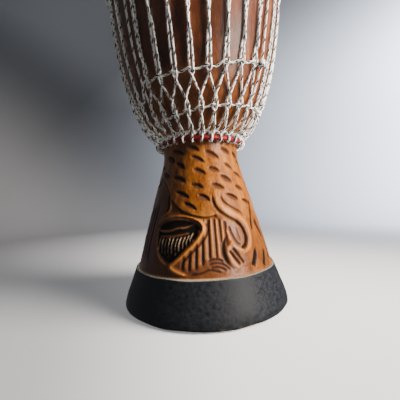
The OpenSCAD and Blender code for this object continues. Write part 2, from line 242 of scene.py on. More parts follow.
def halfGap(z):
    return strandGap / 2 / laceR(z, 0) * 180 / pi / pitch


def wrapped(k):
    return k - loops if k > loops / 2 else k


def lowerZ(u):
    a = lacingTurn + u * pitch
    return neckZ + float(np.interp(a + 360 if a < -50 else a, *zip(*lowerRow)))


def upperZ(u):
    return neckZ + float(np.interp(lacingTurn + u * pitch, *zip(*upperRow)))


def crossZ(k):
    return highZ + float(np.interp(lacingTurn + k * pitch, *zip(*highRow)))


def cover(share):  # layer of a strand crossing its partner, a share of the gap apart
    return sqrt(max(0, 1 - (share * strandGap / ropeD) ** 2))


upperLeft, upperRight = lace["upperLeft"], lace["upperRight"]
firstPair = upperRight + 1
knotAt = -upperLeft - 1.5
tieZ = upperZ(upperRight + 0.5)


def strand(k, side):  # one strand of pair k from its crown loop down to its arch
    w, below, above = wrapped(k), lace["crossBelow"], lace["crossAbove"]
    on, over = (1 if side > 0 else 0), lace["over"]
    u = k - side * 0.5
    low = lowerZ(w - side * 0.5)
    if -upperLeft <= w <= upperRight:
        z, cross = upperZ(w), crossZ(w)
        g, met = side * halfGap(z), z + lace["underRow"]
        away = side * (0.5 - lace["crownBend"][0]) * (leavesZ - cross) / (crownLoopZ - cross)
        path = [(k - away, leavesZ, 0.1), (k - away / 2, (cross + leavesZ) / 2, 0.18), (k, cross, on)]
        path += [(k + g * apart, cross + (met - cross) * down, on * cover(apart))
                 for down, apart in lace["parting"]]
        path += [(k + g, met, 0.35), (k + g, z, over * on), (k + g, z - 0.45 * below, 0.5),
                 (k, z - below, 1 - on)]
    else:
        run = side * (0.5 - halfGap(leavesZ))
        end = low + above + lace["underRow"]
        tied = w == firstPair and side > 0
        path = []
        for t in np.linspace(0, 1, 6):
            zt = leavesZ + (end - leavesZ) * t
            layer = 1.1 if tied and abs(zt - tieZ) < lace["tieReach"] else 0.1 + 0.5 * on * t
            path.append((k - run, zt, layer))
    g = side * lace["tight"] * halfGap(low)
    path += [(u, low + above, on), (u - g, low + 0.5 * above, 0.5), (u - 1.05 * g, low, over * (1 - on)),
             (u - g, low - 0.45 * below, 0.5), (u, low - below, on),
             (u + side * 0.09, (low - below) * 0.5 + archZ * 0.5 + 2, 0.3 + 0.9 * on)]
    return [lacePoint(*point) for point in path]


def bend(u, z, way, at):  # round a loop's cross-piece, from its front to its back
    r, off = laceR(z, 1), way * (ropeD + lace["clear"])
    turn = [ringPoint(u - way * at[i + 1], r + layerT * cos(a), z - way * layerT * sin(a))
            for i, a in enumerate(np.radians([0, 60, 120, 180]))]
    return [lacePoint(u - way * at[0], z + off, 1.9)] + turn + [lacePoint(u - way * at[5], z + off, 0)]


def tensionPath():
    arch, crown = lace["archBend"], lace["crownBend"]
    path = bend(firstPair, archZ, 1, arch)[3:]
    for i in range(loops):
        k = firstPair + i
        if i:
            path += bend(k, archZ, 1, arch)
        path += strand(k, -1)[::-1] + bend(k + 0.5, crownLoopZ, -1, crown)[::-1] + strand(k + 1, 1)
    return path + bend(firstPair + loops, archZ, 1, arch)[:3]


def weavePath():
    def bound(u, z):
        g = halfGap(z)
        return [lacePoint(u - g, z, lace["over"]), lacePoint(u + g, z, 0),
                lacePoint(u + 0.45, z, 0)]
    path = [lacePoint(-upperLeft - 0.95, lowerZ(-upperLeft - 0.5) - 4, 0.4)]
    for i in range(loops):
        u = i - upperLeft - 0.5
        path += bound(u, lowerZ(u - loops if u > loops / 2 else u))
    path.append(lacePoint(loops - upperLeft - 0.5, upperZ(-upperLeft) - 7, 1.2))
    for k in range(-upperLeft, upperRight + 1):
        path += bound(loops + k, upperZ(k))
    return path


def cradlePath(shift, z, r, tube, half, way):  # a hitch on the ring, then a loop, all round
    step = lace["turnStep"]
    q = (tube + seatGap + ropeR) / cos(radians(step / 2))
    lean = ropeD * 0.56 / r * 180 / pi / pitch
    path = []
    for i in range(loops):
        u = i + shift
        for a in range(0, 360, step):
            c, s = cos(radians(a)), sin(radians(a))
            path.append(ringPoint(u + lean * (a / 180 - 1), r - q * s, z + way * q * c))
        path += [ringPoint(u + p, pr, pz) for p, pr, pz in half]
        path += [ringPoint(u + 1 - p, pr, pz) for p, pr, pz in half[::-1]]
    return path


crownHalf = [(0.09, foldR, fleshZ), (0.23, laceR(crownLoopZ, 1), crownLoopZ + 1.5),
             (0.31, laceR(crownLoopZ, 1), crownLoopZ)]
archHalf = [(0.11, laceR(archZ, 1), archZ - 2.5), (0.19, laceR(archZ, 1), archZ)]


# camera
cameraView = {"lens": 22.8, "distance": 463, "height": 172, "aside": -4.3, "roll": 2.4}
v = cameraView
cameraData = bpy.data.cameras.new("camera")
cameraData.lens = v["lens"]
cameraData.sensor_width = 36
cameraData.clip_start, cameraData.clip_end = 0.01, 50
camera = newObject("camera", cameraData)
camera.location = (v["aside"] * mm, -v["distance"] * mm, v["height"] * mm)
camera.rotation_euler = (pi / 2, radians(v["roll"]), 0)
bpy.context.scene.camera = camera


# materials
# Carved tropical hardwood under shellac: reddish bowl, honey stem, grooves stained dark and deepened with
# painted shade, raised edges lighter as a painted highlight, the stem darkened towards the foot as
# painted shade. Pores are too fine to show, so the grain is drawn in streaks 1.6 mm wide.
woodLook = {"grain": 1.6, "streak": 14, "blotch": 70, "stretch": 0.07,
            "bowl": ["#1c0d07", "#40200f", "#5c3019", "#774a2e"],
            "stem": ["#2a1505", "#552c0a", "#784514", "#936027"],
            "stain": "#0b0604", "rub": "#b5702a", "ground": "#54301b", "deep": "#3a1c0c",
            "bare": "#cdb994"}
shellacWood, add = newMaterial("shellacHardwood")
place = add("TexCoord", out="Object")
long = add("Mapping", {0: place, "Scale": (1, 1, woodLook["stretch"])})
tone = 0
for key, at, detail, rough, warp, share in (("streak", long, 4, 0.55, 0.4, 0.5),
                                            ("grain", long, 3, 0.6, 0, 0.36),
                                            ("blotch", place, 3, 0.5, 0, 0.28)):
    blotch = add("TexNoise", {"Vector": at, "Scale": 1000 / woodLook[key], "Detail": detail,
                              "Roughness": rough, "Distortion": warp})
    tone = add("Math", {0: blotch, 1: share, 2: tone}, operation="MULTIPLY_ADD")
bowlTone = setRamp(add("ValToRGB", {0: tone}), zip((0.36, 0.5, 0.62, 0.76), woodLook["bowl"]))
stemTone = setRamp(add("ValToRGB", {0: tone}), zip((0.36, 0.48, 0.6, 0.74), woodLook["stem"]))
heightZ = add("SeparateXYZ", {0: place}, out=2)
# painted shade: the stem mixed towards the deep colour lower down
footShade = add("MapRange", {0: heightZ, 1: 0.18, 2: 0.09, 3: 0, 4: 0.42})  # darker towards the foot
stemTone = add("Mix", {0: footShade, 6: stemTone, 7: linear(woodLook["deep"])}, **inColour)
wobble = add("Math", {0: blotch, 1: 0.06, 2: heightZ}, operation="MULTIPLY_ADD")
upward = add("MapRange", {0: wobble, 1: 0.27, 2: 0.40})
colour = add("Mix", {0: upward, 6: stemTone, 7: bowlTone}, **inColour)
for mask, share in (("ground", 0.75), ("rub", 0.7), ("bare", 1), ("stain", 1)):
    amount = add("Attribute", attribute_name=mask, out="Fac")
    amount = add("Math", {0: amount, 1: share}, operation="MULTIPLY")
    colour = add("Mix", {0: amount, 6: colour, 7: linear(woodLook[mask])}, **inColour)
gloss = add("MapRange", {0: tone, 1: 0.35, 2: 0.8, 3: 0.4, 4: 0.26})
dull = add("Attribute", attribute_name="stain", out="Fac")
gloss = add("Math", {0: dull, 1: 0.5, 2: gloss}, operation="MULTIPLY_ADD")
bump = add("Bump", {"Strength": 0.25, "Distance": 0.0004, "Height": tone})
skin = add("BsdfPrincipled", {"Base Color": colour, "Roughness": gloss, "IOR": 1.5, "Normal": bump})
add("OutputMaterial", {0: skin})

# Braided polyester: a white sheath with dark tracer yarns, so flecks repeat along it. The plait
# is drawn with few wide yarns, coarser than the real ones, so that the flecks show.
ropeLook = {"strands": 4, "plait": 4.8, "white": "#fbfaf6", "shade": "#d3d2cc", "tracer": "#030605"}
braidedPolyester, add = newMaterial("braidedPolyester")
uv = add("UVMap", uv_map="plait")
split = add("SeparateXYZ", {0: uv}).node.outputs
around = add("Math", {0: split[0], 1: ropeLook["strands"]}, operation="MULTIPLY")
along = add("Math", {0: split[1], 1: ropeLook["plait"] * mm}, operation="DIVIDE")
yarns = {}
for key, way in (("s", "ADD"), ("z", "SUBTRACT")):
    lane = add("Math", {0: around, 1: along}, operation=way)
    cell = add("Math", {0: lane}, operation="FLOOR")
    edge = add("Math", {0: lane, 1: 1}, operation="PINGPONG")
    number = add("Math", {0: cell, 1: ropeLook["strands"]}, operation="FLOORED_MODULO")
    dark = add("Math", {0: number, 1: 0, 2: 0.5}, operation="COMPARE")
    yarns[key] = (cell, edge, dark)
both = add("Math", {0: yarns["s"][0], 1: yarns["z"][0]}, operation="ADD")
top = add("Math", {0: both, 1: 2}, operation="FLOORED_MODULO")
fleck = add("Mix", {0: top, 2: yarns["s"][2], 3: yarns["z"][2]}, data_type="FLOAT")
bulge = add("Math", {0: yarns["s"][1], 1: yarns["z"][1]}, operation="MULTIPLY")
white = add("Mix", {0: bulge, 6: linear(ropeLook["shade"]), 7: linear(ropeLook["white"])}, **inColour)
colour = add("Mix", {0: fleck, 6: white, 7: linear(ropeLook["tracer"])}, **inColour)
bump = add("Bump", {"Strength": 0.5, "Distance": 0.0003, "Height": bulge})
skin = add("BsdfPrincipled", {"Base Color": colour, "Roughness": 0.55, "IOR": 1.5,
                              "Sheen Weight": 0.25, "Sheen Roughness": 0.4, "Normal": bump})
add("OutputMaterial", {0: skin})

# Dyed cotton strip wound tight: dull crimson with paler and darker patches; its weave is drawn
# at 0.8 mm, about twice the real thread.
clothLook = {"thread": 0.8, "patch": 6.25, "red": "#70040d", "deep": "#380206", "worn": "#8e1420"}
dyedCotton, add = newMaterial("dyedCottonStrip")
place = add("TexCoord", out="Object")
weave = add("TexVoronoi", {"Vector": place, "Scale": 1000 / clothLook["thread"]})
patch = add("TexNoise", {"Vector": place, "Scale": 1000 / clothLook["patch"], "Detail": 3})
colour = setRamp(add("ValToRGB", {0: patch}),
                 [(0.3, clothLook["deep"]), (0.5, clothLook["red"]), (0.75, clothLook["worn"])])
bump = add("Bump", {"Strength": 0.4, "Distance": 0.0003, "Height": weave})
skin = add("BsdfPrincipled", {"Base Color": colour, "Roughness": 0.45,
                              "Sheen Weight": 0.05, "Sheen Roughness": 0.5, "Normal": bump})
add("OutputMaterial", {0: skin})

# Black rubber cut from a tyre: soft sheen, mottled grey where it is scuffed, tan dust low down.
rubberLook = {"mottle": 5.263, "grit": 1.111, "black": "#070708", "scuff": "#25292f",
              "dust": "#5c4a34", "cut": "#8d8878"}
cutRubber, add = newMaterial("cutTyreRubber")
place = add("TexCoord", out="Object")
mottle = add("TexNoise", {"Vector": place, "Scale": 1000 / rubberLook["mottle"], "Detail": 6,
                          "Roughness": 0.6})
grit = add("TexNoise", {"Vector": place, "Scale": 1000 / rubberLook["grit"], "Detail": 2})
colour = setRamp(add("ValToRGB", {0: mottle}),
                 [(0.3, rubberLook["black"]), (0.85, rubberLook["scuff"])])
for mask, tint in (("wear", "dust"), ("cut", "cut")):
    amount = add("Attribute", attribute_name=mask, out="Fac")
    colour = add("Mix", {0: amount, 6: colour, 7: linear(rubberLook[tint])}, **inColour)
gloss = add("MapRange", {0: mottle, 1: 0.35, 2: 0.7, 3: 0.48, 4: 0.62})
height = add("Math", {0: grit, 1: 0.2, 2: mottle}, operation="MULTIPLY_ADD")
bump = add("Bump", {"Strength": 0.35, "Distance": 0.0006, "Height": height})
skin = add("BsdfPrincipled", {"Base Color": colour, "Roughness": gloss, "IOR": 1.52, "Normal": bump})
add("OutputMaterial", {0: skin})

# Shaved goatskin: cream rawhide with darker clouds and hair roots about 1.5 mm apart.
skinLook = {"cloud": 111.1, "pore": 1.5, "pale": "#d9cba8", "mid": "#bfa67c", "dark": "#8a6a45"}
rawGoatskin, add = newMaterial("rawGoatskin")
place = add("TexCoord", out="Object")
cloud = add("TexNoise", {"Vector": place, "Scale": 1000 / skinLook["cloud"], "Detail": 5,
                         "Roughness": 0.6, "Distortion": 0.6})
pore = add("TexVoronoi", {"Vector": place, "Scale": 1000 / skinLook["pore"]})
colour = setRamp(add("ValToRGB", {0: cloud}),
                 [(0.3, skinLook["dark"]), (0.45, skinLook["mid"]), (0.62, skinLook["pale"])])
dots = add("MapRange", {0: pore, 1: 0.0, 2: 0.25, 3: 0.75, 4: 1.0})
colour = add("Mix", {0: 1.0, 6: colour, 7: dots}, blend_type="MULTIPLY", **inColour)
bump = add("Bump", {"Strength": 0.2, "Distance": 0.0003, "Height": pore})
skin = add("BsdfPrincipled", {"Base Color": colour, "Roughness": 0.5, "IOR": 1.45,
                              "Subsurface Weight": 0.12, "Subsurface Scale": 0.003, "Normal": bump})
add("OutputMaterial", {0: skin})

# Mild steel rod, bare and a little rusty: grey with brown patches some 5 mm across.
steelLook = {"patch": 4.545, "bare": "#6f6a66", "rust": "#5a3a28"}
steelRod, add = newMaterial("mildSteelRod")
place = add("TexCoord", out="Object")
rust = add("TexNoise", {"Vector": place, "Scale": 1000 / steelLook["patch"], "Detail": 5})
colour = setRamp(add("ValToRGB", {0: rust}), [(0.45, steelLook["bare"]), (0.62, steelLook["rust"])])
metal = setRamp(add("ValToRGB", {0: rust}), [(0.45, 0.9), (0.62, 0.2)])
gloss = add("MapRange", {0: rust, 1: 0.4, 2: 0.65, 3: 0.35, 4: 0.8})
skin = add("BsdfPrincipled", {"Base Color": colour, "Metallic": metal, "Roughness": gloss})
add("OutputMaterial", {0: skin})
print("stage: materials")

# carved shell
farSide = (96, 264)  # degrees, drawn coarser
# the grid's runs round and up the shell, each with its start, end and step
carving = {"around": ((-60, 76, 0.55), (76, farSide[0], 1.1), (*farSide, 1.8), (farSide[1], 299.5, 1.1)),
           "upward": ((shellSize["footRound"], 57, 6), (58, 190, 1.1), (190, 262, 1.5), (264, 330, 5),
                      (334, shellSize["height"] - shellSize["rimRound"], 14)),
           "adze": 0.7, "scrape": 0.25, "bead": 1.2,
           "spotLong": 12, "spotWide": 4.1, "spotTurn": -23, "spotDeep": 2.9}


class Relief:  # height (mm, inward negative) and colour masks over a grid of angle and height
    def __init__(self, phi, z):
        self.phi, self.z = np.meshgrid(phi, z)
        self.r = shellR(self.z)
        # dark staining in the cuts with painted shade deeper down, edges rubbed lighter with a painted
        # highlight, redder cut-back ground, bare pale wood
        self.h, self.stain, self.rub, self.ground, self.bare = np.zeros((5,) + self.r.shape)

    def near(self, points, margin):  # the part of the grid round a stroke
        a, z = np.array(points, float).T
        side = np.degrees(margin / self.r.min())
        return ((np.abs((self.phi - (a.min() + a.max()) / 2 + 180) % 360 - 180) < np.ptp(a) / 2 + side)
                & (self.z > z.min() - margin) & (self.z < z.max() + margin))

    def offsets(self, where, a, z):  # millimetres from a point to the grid's points
        turn = (self.phi[where] - a + 180) % 360 - 180
        return np.radians(turn) * self.r[where], self.z[where] - z

    def mark(self, mask, where, amount):
        grid = getattr(self, mask)
        grid[where] = np.maximum(grid[where], amount)

    def alongLine(self, points, margin, ends=(1, 1)):  # distance to a line, fade at its ends, side
        where = self.near(points, margin)
        line = smoothLine(points)
        best = np.full(where.sum(), 1e9)
        place = np.zeros(where.sum())
        side = np.ones(where.sum())
        for i in range(len(line) - 1):
            px, pz = self.offsets(where, *line[i])
            dx = np.radians(line[i + 1][0] - line[i][0]) * self.r[where]
            dz = line[i + 1][1] - line[i][1]
            t = np.clip((px * dx + pz * dz) / (dx * dx + dz * dz + 1e-9), 0, 1)
            gap = np.hypot(px - t * dx, pz - t * dz)
            closer = gap < best
            best[closer] = gap[closer]
            place[closer] = (i + t[closer]) / (len(line) - 1)
            side[closer] = np.sign(dx * pz - dz * px)[closer]
        fade = ease(place, -0.01, ends[0]) * ease(1 - place, -0.01, ends[1])
        return where, best, fade, side

    def groove(self, points, width, depth, stain=1.0, ends=(0.15, 0.15), section=0.8):
        where, gap, fade, _ = self.alongLine(points, width + 1, ends)
        cut = np.clip(1 - gap / (width * (0.35 + 0.65 * fade) / 2 + 1e-6), 0, 1) ** section * fade
        self.h[where] = np.minimum(self.h[where], self.h[where] * 0.3 - depth * cut)
        # dark staining with painted shade, darker where the cut is deeper
        self.mark("stain", where, stain * ease(cut, 0.08, 0.52))

    def ridge(self, points, width, height, rub=0.6, ends=(0.1, 0.1), bare=0):
        where, gap, fade, _ = self.alongLine(points, width + 1, ends)
        up = ease(1 - gap / (width * (0.3 + 0.7 * fade) / 2 + 1e-6), 0, 0.8)
        self.h[where] = np.where(up > 0.02, self.h[where] + (height - self.h[where]) * up, self.h[where])
        self.stain[where] *= 1 - up
        # painted highlight along the raised crest, with rubbed wear
        self.mark("rub", where, rub * ease(up, 0.4, 1))
        self.mark("bare", where, bare * ease(up, 0.3, 0.9))

    def cutBack(self, points, depth, reach, stain=0.8):  # ground lowered on the line's right side
        where, gap, fade, side = self.alongLine(points, reach, (0.06, 0.06))
        low = (side < 0) * ease(gap, 0, 1.6) * (1 - ease(gap, 2.5, reach)) * fade
        self.h[where] = np.minimum(self.h[where], -depth * low)
        # painted shadow: a dark band along the foot of the step
        dark = (side < 0) * ease(gap, 0, 1.2) * (1 - ease(gap, 1.8, 6)) * fade
        self.mark("stain", where, stain * dark)
        lip = (side > 0) * (1 - ease(gap, 0.5, 4)) * fade  # the body's rounded edge
        self.h[where] += 0.7 * lip
        # painted highlight on the body's rounded edge
        self.mark("rub", where, 0.4 * lip)

    def soften(self):  # rounds the cuts off by about one step of the grid where it is fine
        fine = (self.phi < farSide[0]) | (self.phi > farSide[1])
        for mask in ("h", "stain", "rub", "ground", "bare"):
            grid = getattr(self, mask)
            grid = (np.roll(grid, 1, 0) + 2 * grid + np.roll(grid, -1, 0)) / 4
            across = (np.roll(grid, 1, 1) + 2 * grid + np.roll(grid, -1, 1)) / 4
            setattr(self, mask, np.where(fine, across, grid))

    def inside(self, corners, margin):  # distance from the edge for points inside an outline
        ring = smoothLine(corners + corners[:1])
        where, gap, _, _ = self.alongLine(corners + corners[:1], margin)
        x, z = (self.phi[where] + 180) % 360 - 180, self.z[where]
        within = np.zeros(len(x), bool)
        for (x0, z0), (x1, z1) in zip(ring[:-1], ring[1:]):
            crosses = (z0 > z) != (z1 > z)
            within ^= crosses & (x < (x1 - x0) * (z - z0) / (z1 - z0 + 1e-9) + x0)
        return where, np.where(within, gap, 0)

    def hollow(self, corners, depth, edge, stain):  # a sunk area with a sloped side
        where, gap = self.inside(corners, 60)
        sunk = ease(gap, 0, edge)
        self.h[where] = np.minimum(self.h[where], -depth * sunk)
        # dark staining with painted shade, darker where it sinks deeper
        self.mark("stain", where, stain * ease(sunk, 0.15, 0.7))

    def redden(self, corners, edge):
        where, gap = self.inside(corners, 90)
        self.mark("ground", where, ease(gap, 0, edge))

    def leaf(self, a, z, long, wide, turn, depth):  # pocket, deep on its upper side
        where = self.near([(a, z)], long + 2)
        x, y = self.offsets(where, a, z)
        c, s = cos(radians(turn)), sin(radians(turn))
        p, q = x * c + y * s, y * c - x * s
        half = wide * (1 - np.abs(p / long) ** 2.2)
        t = np.where(half > 0.05, q / np.maximum(half, 0.05), 9)
        edge = np.clip(np.minimum((half - np.abs(q)) / 1.1, 1) * (half > 0), 0, 1)
        floor = -depth * (0.25 + 0.75 * ease(t, -1, 0.6)) * edge
        self.h[where] = np.minimum(self.h[where], floor)
        # painted shade on the steep upper wall, with dark staining and a dark line along the lower edge
        dark = np.maximum(ease(t, -0.1, 0.3), 0.85 * ease(-t, 0.5, 0.8))
        dark = np.maximum(dark, 0.4) * ease(edge, 0, 0.45)
        self.mark("stain", where, dark)
        self.mark("ground", where, edge)


def smoothLine(points):
    p = np.array([points[0]] + list(points) + [points[-1]], float)
    out = []
    for i in range(1, len(p) - 2):
        for t in np.linspace(0, 1, 5, endpoint=False):
            out.append(0.5 * (2 * p[i] + (p[i + 1] - p[i - 1]) * t
                              + (2 * p[i - 1] - 5 * p[i] + 4 * p[i + 1] - p[i + 2]) * t**2
                              + (3 * p[i] - p[i - 1] - 3 * p[i + 1] + p[i + 2]) * t**3))
    return [tuple(q) for q in out] + [tuple(p[-2])]


spots = [(-11.5, 254), (-5, 236), (-29, 227), (-3, 216), (-28, 205), (15, 219), (38, 250),
          (15, 243), (38, 225), (30, 204), (54, 211), (-6, 193), (17, 192), (-22, 181),
          (1, 175), (-13, 163), (33, 175), (47, 189), (53, 167), (70, 232), (75, 196),
          (-47, 240), (-52, 214), (-68, 228), (-70, 200), (-34, 250), (60, 245),
         # and round the far side
         (92, 246), (112, 232), (95, 218), (128, 214), (110, 198), (140, 240), (158, 226),
         (150, 200), (176, 244), (172, 210), (190, 192), (205, 230), (222, 214), (200, 250),
         (238, 240), (243, 200), (256, 224), (268, 246), (274, 208), (132, 186), (168, 182),
         (222, 184), (262, 186), (95, 178)]
mouth = [(-47, 132), (-42, 138), (-34, 142), (-24, 144), (-13, 142), (-4, 135), (-3, 127),
         (-8, 114), (-17, 98), (-24, 84), (-31, 80), (-39, 88), (-44, 102), (-47, 118)]
belly = [(-64, 214), (-50, 203), (-40.5, 189), (-30, 168.5), (-18, 155.5), (-5, 148.5), (4, 147.5),
         (12, 151)]
lowGround = belly + [(20, 146), (31, 138), (36, 126), (35, 108), (29, 98), (24, 92), (30, 76),
                     (18, 66), (-20, 60), (-52, 60), (-72, 90), (-78, 150), (-74, 205)]


def carve(relief):
    c, groove, ridge = carving, relief.groove, relief.ridge
    # ground cut back below the big cat's belly, redder than the body
    relief.redden(lowGround, 9)
    relief.cutBack(belly, 2.6, 26)
    groove([(-41, 182), (-39, 172), (-38, 162), (-40, 154)], 4, 2.2, 1)
    ridge([(-35.5, 180), (-35, 170), (-34.3, 160), (-40, 151), (-47, 146)], 4, 0.4, 0.9)
    ridge([(-48, 139), (-43, 143.5), (-33, 148), (-21, 149), (-12, 146.5), (-6, 142.5)], 4.6, 0.6, 0.8)
    # open mouth with its wavy lip, gum and teeth
    relief.hollow(mouth, 4.6, 3.4, 1)
    ridge([(-46, 127), (-39, 126), (-32, 127), (-25, 130.5), (-17, 132), (-8, 137)], 5.6, -1.4, 0.45,
          (0.12, 0.3), 0.1)
    groove([(-43, 127.5), (-36, 126.8), (-27, 129.6), (-19, 131.6)], 1.3, 1.8, 0.5)
    ridge([(-44, 118.5), (-34, 118.5), (-24, 120), (-14, 124)], 5.2, -2.2, 0.3)
    for n, (a, top, low) in enumerate(((-43, 116, 98), (-39.4, 116, 94), (-36, 116, 92.5),
                                       (-32.4, 117, 90), (-29.2, 117, 92), (-25.6, 117, 92),
                                       (-22.6, 118, 96), (-19.2, 119, 99), (-16, 121, 103),
                                       (-12.8, 124, 108))):
        lean = 0.5 + 0.28 * n
        ridge([(a + lean, top), (a + 0.4, (top + low) / 2), (a + 0.9, low)], 3.1 + 0.5 * sin(n * 2.3),
              -0.9, 0.6, (0.02, 0.8), 0.85)
    # flutes, closed above by the belly and below by the paw
    for a, top, low in ((-17.5, 100, 74), (-12.5, 112, 72), (-7.5, 122, 74), (-2.5, 141, 79),
                        (2.8, 145, 86), (8, 145, 88), (12.8, 144, 88), (17.5, 140, 104)):
        groove([(a + 0.6, top), (a + 0.3, (top + low) / 2), (a, low)], 6.4, 2.3, 0.3, (0.1, 0.1), 1.2)
    for a, top, low in ((-15, 104, 77), (-10, 116, 76), (-5, 130, 80), (0.3, 143, 88), (5.5, 144, 90),
                        (10.4, 144, 90), (15.2, 142, 98)):
        ridge([(a + 0.4, top), (a, low)], 5.2, 0.3, 0.65)
    # jaw bar down to the corner of the mouth and along the paw
    groove([(-3, 141), (2.8, 134), (2.2, 124), (-3.2, 111), (-12.2, 95), (-19, 82)], 4, 2.4, 0.8,
           (0.2, 0.1))
    ridge([(-9, 145), (-3, 140), (-1, 132), (-2.5, 123), (-8, 111), (-16.5, 96), (-24, 84), (-27, 78),
           (-22, 72), (-14, 68)], 9, 2.8, 1, (0.12, 0.12))
    # tail: a smooth band between two lines that curls under itself
    ridge([(14, 184), (15, 170), (20, 159), (29, 150), (37, 142), (42, 130), (42.5, 114), (39, 100),
           (31, 92)], 11.5, 2.3, 0.75, (0.2, 0.15))
    groove([(9.5, 184), (10, 169), (14, 156), (22, 146), (31, 138)], 5.2, 2.8, 0.9, (0.3, 0.05))
    groove([(29, 140), (34.5, 132), (37, 123), (37.5, 112), (34.5, 102), (28.5, 99)], 6.8, 3.6, 1,
           (0.1, 0.15))
    groove([(18, 182), (20, 170), (26, 162), (35, 154), (42, 146), (46, 137)], 4, 2, 0.8, (0.2, 0.4))
    groove([(21.5, 134), (23.5, 120), (26.5, 109), (31, 103)], 3.2, 1.7, 0.8)
    groove([(29, 130), (30, 118), (31, 110)], 2.6, 1.3, 0.7)
    ridge([(19, 128), (21.5, 112), (25, 102), (32, 95)], 6, 1.6, 0.8)
    groove([(20.5, 124), (16.5, 113), (14.5, 102), (14.5, 92), (16.5, 82), (21, 70)], 7, 3.2, 1,
           (0.3, 0.3))
    ridge([(23, 112), (19.5, 102), (19, 92), (21, 82), (25, 73)], 6, 1.6, 0.9)
    # paw
    for points in ([(1, 85), (7, 88), (13.5, 84)], [(1, 80.5), (7, 83), (13, 80), (18, 72)],
                   [(3, 76.5), (9, 77.5), (15, 72)], [(-12, 68), (-4, 70), (3, 74), (12, 69)]):
        groove(points, 3.2, 2, 0.95)
    # gouges on the right flank
    groove([(22, 101), (26, 90), (30, 78)], 4, 2.4, 1, (0.06, 0.12))
    groove([(18.6, 98), (22.6, 87), (26.4, 77)], 4, 2.2, 1, (0.06, 0.12))
    for a, z in ((41.2, 84), (55.6, 79), (70, 84)):
        groove([(a + 4.6, z + 14), (a + 2.4, z + 2), (a - 3.2, z - 13)], 10.4, 3.2, 1, (0.45, 0.1), 0.6)
    groove([(64, 172), (57, 153), (52.5, 139), (48, 120)], 6.4, 3, 1, (0.15, 0.15), 0.7)
    groove([(58, 139), (63, 121), (68, 104)], 9.5, 3.4, 1, (0.3, 0.3), 0.6)
    # long shallow flutes down the left flank
    for a in (-54, -59.5, -65.5, -72, -79):
        groove([(a + 2, 196 + a * 0.4), (a, 150), (a - 1, 110), (a, 74)], 5, 2, 0.7, (0.3, 0.2))
    # the far side carries a second cat, turned the other way
    groove([(96, 168), (115, 158), (140, 152), (170, 150), (200, 153), (230, 160), (262, 172)], 7, 2.8,
           0.9, (0.2, 0.2))
    for a in range(123, 224, 9):
        low = 84 + 8 * cos(radians((a - 172) * 3))
        groove([(a, 145), (a + 0.4, 115), (a, low)], 8.5, 3, 0.6, (0.1, 0.1), 1.2)
        ridge([(a + 4.5, 143), (a + 4.5, low + 4)], 7, 0.5, 0.6)
    for start, way in ((108, 1), (240, -1)):
        groove([(start, 150), (start - 3 * way, 134), (start - 12 * way, 122), (start - 18 * way, 108),
                (start - 14 * way, 94), (start - 6 * way, 90)], 8, 3.4, 1, (0.25, 0.1))
        ridge([(start + 6 * way, 150), (start + 3 * way, 132), (start - 6 * way, 118),
               (start - 11 * way, 106), (start - 8 * way, 98)], 8, 1.4, 0.7)
    for a, z, turn in ((84, 100, 70), (96, 84, 60), (104, 96, 60), (250, 98, -60), (262, 86, -65),
                       (272, 104, -60)):
        relief.leaf(a, z, 12, 5, turn, 3)
    for n, (a, z) in enumerate(spots):  # no two spots quite alike
        long, wide, turn = (sin(n * k) for k in (2.1, 3.7, 5.3))
        relief.leaf(a, z, c["spotLong"] * (1 + 0.14 * long), c["spotWide"] * (1 + 0.12 * wide),
                    c["spotTurn"] + 6 * turn, c["spotDeep"])


def buildShell():
    s, c = shellSize, carving
    phi, outerZ = (np.concatenate([np.arange(*run) for run in c[way]])
                   for way in ("around", "upward"))
    relief = Relief(phi, outerZ)
    carve(relief)
    relief.soften()
    tool = noise(relief.phi * 0.16, relief.z * 0.09, seed=3) - 0.5  # shallow adze marks
    small = noise(relief.phi * 0.5, relief.z * 0.3, seed=5) - 0.5
    free = ease(relief.z, 60, 66) * ease(262 - relief.z, 0, 6)
    bead = np.exp(-((relief.z - 62) / 1.3) ** 2)
    uneven = (tool * c["adze"] + small * c["scrape"]) * ease(relief.z, 60, 64)
    relief.h = relief.h * free + uneven + bead * c["bead"]
    relief.stain *= free
    pale = 0.08 + 0.62 * (1 - ease((relief.phi + 180) % 360 - 180, 0, 28))
    relief.bare = np.maximum(relief.bare * free, bead * pale)
    angle = np.radians(phi)
    radius = relief.r + relief.h
    rows = [turned(angle, r, z) for r, z in zip(radius, outerZ)]
    top, rimR, innerR = s["height"], s["rimD"] / 2, s["rimD"] / 2 - s["wallRim"]
    edgeR, edgeZ = rimR - s["rimRound"], top - s["rimRound"]
    # plain rings: rim edge, top, inside, base, foot edge
    flat = [(edgeR + s["rimRound"] * cos(a), edgeZ + s["rimRound"] * sin(a))
            for a in np.radians([15, 35, 55, 75])]
    flat += [(edgeR, top), (innerR + 3, top), (innerR + 0.8, top - 1.5), (innerR, top - 6)]
    flat += [(float(shellR(z) - wallAt(z)), z) for z in np.arange(top - 24, 6, -32)]
    boreR, footR, footRound = float(shellR(2) - wallAt(2)), float(shellR(s["footRound"])), s["footRound"]
    flat += [(boreR, 1.5), (boreR + 1.5, 0)]
    flat += [(footR - footRound * (1 - sin(a)), footRound * (1 - cos(a)))
             for a in np.radians([0, 20, 40, 60, 78])]
    rows += [turned(angle, r, z) for r, z in flat]
    piece = meshObject("carved_shell", np.concatenate(rows), gridFaces(len(rows), len(phi), True),
                       shellacWood)
    extra = np.zeros(len(flat) * len(phi))
    for mask in ("stain", "rub", "ground", "bare"):
        addFloat(piece, mask, np.concatenate([getattr(relief, mask).ravel(), extra]))
    return piece


shell = buildShell()
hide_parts("shell")
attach(shell, "root")
print("stage: carved shell,", len(shell.data.polygons), "faces")

# rubber foot sleeve
sleeveSize = {"low": 1.5, "high": 62.5, "thick": 4, "columns": 288, "ripple": 0.35}


